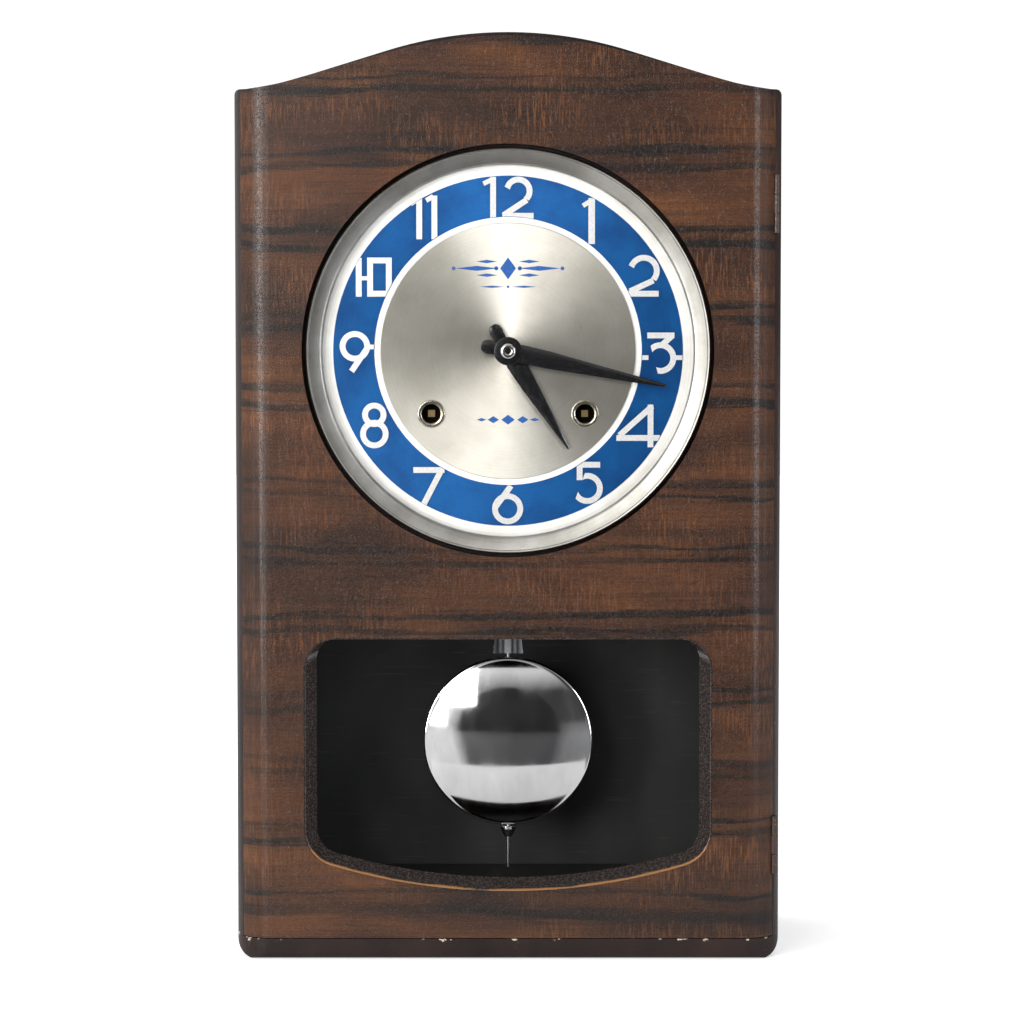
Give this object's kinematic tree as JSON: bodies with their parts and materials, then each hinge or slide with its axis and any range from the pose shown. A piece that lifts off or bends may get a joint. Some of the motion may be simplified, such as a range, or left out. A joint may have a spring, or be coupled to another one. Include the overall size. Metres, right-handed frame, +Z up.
{
  "type": "pendulum wall clock",
  "caption": "Wooden wall clock with an arched top, hinged front door, round dial, winding holes and a pendulum that swings behind a window in the lower case.",
  "frame": {"origin": "centre of the base's flat underside", "axes": "+Z up, +X to the viewer's right when the dial is read, -Y out of the dial towards the viewer, +Y to the wall"},
  "size_m": [0.29, 0.125, 0.49],
  "materials": {
    "base_paint": "dark purple-brown paint, satin",
    "side_paint": "dark purple-brown paint, satin",
    "black_wood": "black stain, matt",
    "veneer": "streaked brown veneer under gloss lacquer",
    "black_lacquer": "black gloss lacquer",
    "plated_screw": "satin",
    "zinc_steel": "bright zinc",
    "dial_silver": "matt silver",
    "blue_enamel": "gloss blue",
    "numeral_silver": "satin",
    "spun_aluminium": "fine circular brushing",
    "bezel_aluminium": "spun, satin",
    "grommet_brass": "polished",
    "plate_brass": "satin",
    "gear_brass": "satin",
    "arbor_steel": "ground",
    "spring_steel": "tempered, blued",
    "bright_spring": "bright",
    "gong_iron": "black japanned",
    "gong_bronze": "drawn",
    "hand_black": "gloss black",
    "nickel": "polished",
    "bob_iron": "rough cast",
    "hinge_brass": "polished"
  },
  "bodies": {
    "case": {"base_plinth": "base_paint", "bottom_board": "black_wood", "left_side_board": "side_paint", "right_side_board": "side_paint", "top_board": "side_paint", "back_board": "black_wood", "wood_screws": "plated_screw", "hanger_plate": "zinc_steel", "dial_board": "black_wood", "dial_plate": "dial_silver", "chapter_ring": "blue_enamel", "numerals": "numeral_silver", "dial_centre": "spun_aluminium", "winding_grommets": "grommet_brass", "dial_bezel": "bezel_aluminium", "front_plate": "plate_brass", "back_plate": "plate_brass", "movement_screws": "zinc_steel", "suspension_cock": "plate_brass", "suspension_spring": "bright_spring", "gong_block": "gong_iron", "gong_rods": "gong_bronze", "catch_clip": "hinge_brass", "hinge_case_leaves": "hinge_brass", "hinge_pins": "hinge_brass"},
    "door": {"door_panel": "veneer", "window_lining": "black_lacquer", "hinge_door_leaves": "hinge_brass", "catch_stud": "hinge_brass"},
    "minute": {"minute_hand": "hand_black", "hand_nut": "nickel", "cannon_pinion": "arbor_steel"},
    "hour": {"hour_hand": "hand_black", "hour_wheel": "gear_brass"},
    "minute_wheel": {"minute_wheel": "gear_brass"},
    "centre": {"centre_wheel": "gear_brass"},
    "second": {"second_wheel": "gear_brass"},
    "third": {"third_wheel": "gear_brass"},
    "escape": {"escape_wheel": "gear_brass"},
    "time_barrel": {"time_barrel": "gear_brass", "time_mainspring": "spring_steel"},
    "time_winder": {"time_winding_arbor": "arbor_steel"},
    "time_click": {"time_click": "arbor_steel"},
    "strike_barrel": {"strike_barrel": "gear_brass", "strike_mainspring": "spring_steel"},
    "strike_winder": {"strike_winding_arbor": "arbor_steel"},
    "strike_click": {"strike_click": "arbor_steel"},
    "pin": {"pin_wheel": "gear_brass"},
    "locking": {"locking_wheel": "gear_brass"},
    "warning": {"warning_wheel": "gear_brass"},
    "fly": {"fly": "gear_brass"},
    "hammer_long": {"hammer_long": "gear_brass"},
    "hammer_short": {"hammer_short": "gear_brass"},
    "anchor": {"anchor": "arbor_steel", "crutch": "arbor_steel"},
    "pendulum": {"pendulum_rod": "bright_spring", "pendulum_bracket": "nickel"},
    "bob": {"bob_shell": "nickel", "bob_weight": "bob_iron"},
    "nut": {"rating_nut": "nickel"}
  },
  "joints": [
    {"name": "door_swing", "type": "hinge", "parent": "case", "child": "door", "pos_m": [0.1417, -0.0543, 0.23], "axis": [0, 0, 1], "range_deg": [0, 110]},
    {"name": "pendulum_swing", "type": "hinge", "parent": "case", "child": "pendulum", "pos_m": [0, 0.005, 0.3585], "axis": [0, 1, 0], "range_deg": [-4.5, 4.5]},
    {"name": "anchor_swing", "type": "hinge", "parent": "case", "child": "anchor", "pos_m": [0, 0.005, 0.3585], "axis": [0, 1, 0], "range_deg": [-4.5, 4.5]},
    {"name": "nut_turn", "type": "hinge", "parent": "bob", "child": "nut", "pos_m": [0, 0.005, 0.058], "axis": [0, 0, 1], "range_deg": [-1090, 1090]},
    {"name": "bob_slide", "type": "slide", "parent": "pendulum", "child": "bob", "axis": [0, 0, 1], "range_m": [-0.0015, 0.0015]},
    {"name": "minute_turn", "type": "hinge", "parent": "case", "child": "minute", "pos_m": [0, 0, 0.3225], "axis": [0, 1, 0], "continuous": true},
    {"name": "hour_turn", "type": "hinge", "parent": "case", "child": "hour", "pos_m": [0, 0, 0.3225], "axis": [0, 1, 0], "continuous": true},
    {"name": "minute_wheel_turn", "type": "hinge", "parent": "case", "child": "minute_wheel", "pos_m": [-0.015, 0, 0.3225], "axis": [0, 1, 0], "continuous": true},
    {"name": "escape_turn", "type": "hinge", "parent": "case", "child": "escape", "pos_m": [0, 0, 0.3425], "axis": [0, 1, 0], "continuous": true},
    {"name": "third_turn", "type": "hinge", "parent": "case", "child": "third", "pos_m": [0.0156, 0, 0.33436], "axis": [0, 1, 0], "continuous": true},
    {"name": "centre_turn", "type": "hinge", "parent": "case", "child": "centre", "pos_m": [0, 0, 0.3225], "axis": [0, 1, 0], "continuous": true},
    {"name": "second_turn", "type": "hinge", "parent": "case", "child": "second", "pos_m": [0.01983, 0, 0.31208], "axis": [0, 1, 0], "continuous": true},
    {"name": "time_barrel_turn", "type": "hinge", "parent": "case", "child": "time_barrel", "pos_m": [0.0407, 0, 0.2895], "axis": [0, 1, 0], "continuous": true},
    {"name": "fly_turn", "type": "hinge", "parent": "case", "child": "fly", "pos_m": [-0.03707, 0, 0.34782], "axis": [0, 1, 0], "continuous": true},
    {"name": "warning_turn", "type": "hinge", "parent": "case", "child": "warning", "pos_m": [-0.02523, 0, 0.35213], "axis": [0, 1, 0], "continuous": true},
    {"name": "locking_turn", "type": "hinge", "parent": "case", "child": "locking", "pos_m": [-0.02254, 0, 0.33687], "axis": [0, 1, 0], "continuous": true},
    {"name": "pin_turn", "type": "hinge", "parent": "case", "child": "pin", "pos_m": [-0.03274, 0, 0.3192], "axis": [0, 1, 0], "continuous": true},
    {"name": "strike_barrel_turn", "type": "hinge", "parent": "case", "child": "strike_barrel", "pos_m": [-0.0407, 0, 0.2895], "axis": [0, 1, 0], "continuous": true},
    {"name": "wind_time", "type": "hinge", "parent": "case", "child": "time_winder", "pos_m": [0.0407, 0, 0.2895], "axis": [0, 1, 0], "range_deg": [0, 1620]},
    {"name": "wind_strike", "type": "hinge", "parent": "case", "child": "strike_winder", "pos_m": [-0.0407, 0, 0.2895], "axis": [0, 1, 0], "range_deg": [0, 1620]},
    {"name": "time_click_lift", "type": "hinge", "parent": "case", "child": "time_click", "pos_m": [0.0381, 0, 0.30427], "axis": [0, 1, 0], "range_deg": [0, 15], "stiffness_Nm_per_rad": 0.005},
    {"name": "strike_click_lift", "type": "hinge", "parent": "case", "child": "strike_click", "pos_m": [-0.0433, 0, 0.30427], "axis": [0, 1, 0], "range_deg": [0, 15], "stiffness_Nm_per_rad": 0.005},
    {"name": "hammer_long_lift", "type": "hinge", "parent": "case", "child": "hammer_long", "pos_m": [-0.092, 0.0245, 0.3745], "axis": [1, 0, 0], "range_deg": [0, 12], "stiffness_Nm_per_rad": 0.02},
    {"name": "hammer_short_lift", "type": "hinge", "parent": "case", "child": "hammer_short", "pos_m": [-0.07, 0.0245, 0.3745], "axis": [1, 0, 0], "range_deg": [0, 12], "stiffness_Nm_per_rad": 0.02}
  ],
  "couplings": [
    {"joint": "anchor_swing", "follows": "pendulum_swing", "ratio": 1},
    {"joint": "nut_turn", "follows": "bob_slide", "rad_per_m": 12566},
    {"joint": "hour_turn", "follows": "minute_turn", "ratio": 0.083333},
    {"joint": "minute_wheel_turn", "follows": "minute_turn", "ratio": -0.33333},
    {"joint": "third_turn", "follows": "escape_turn", "ratio": -0.1},
    {"joint": "centre_turn", "follows": "escape_turn", "ratio": 0.011111},
    {"joint": "second_turn", "follows": "escape_turn", "ratio": -0.0018519},
    {"joint": "time_barrel_turn", "follows": "escape_turn", "ratio": 0.0002572},
    {"joint": "fly_turn", "follows": "warning_turn", "ratio": -6},
    {"joint": "locking_turn", "follows": "warning_turn", "ratio": -0.14815},
    {"joint": "pin_turn", "follows": "warning_turn", "ratio": 0.019753},
    {"joint": "strike_barrel_turn", "follows": "warning_turn", "ratio": -0.0027435}
  ]
}
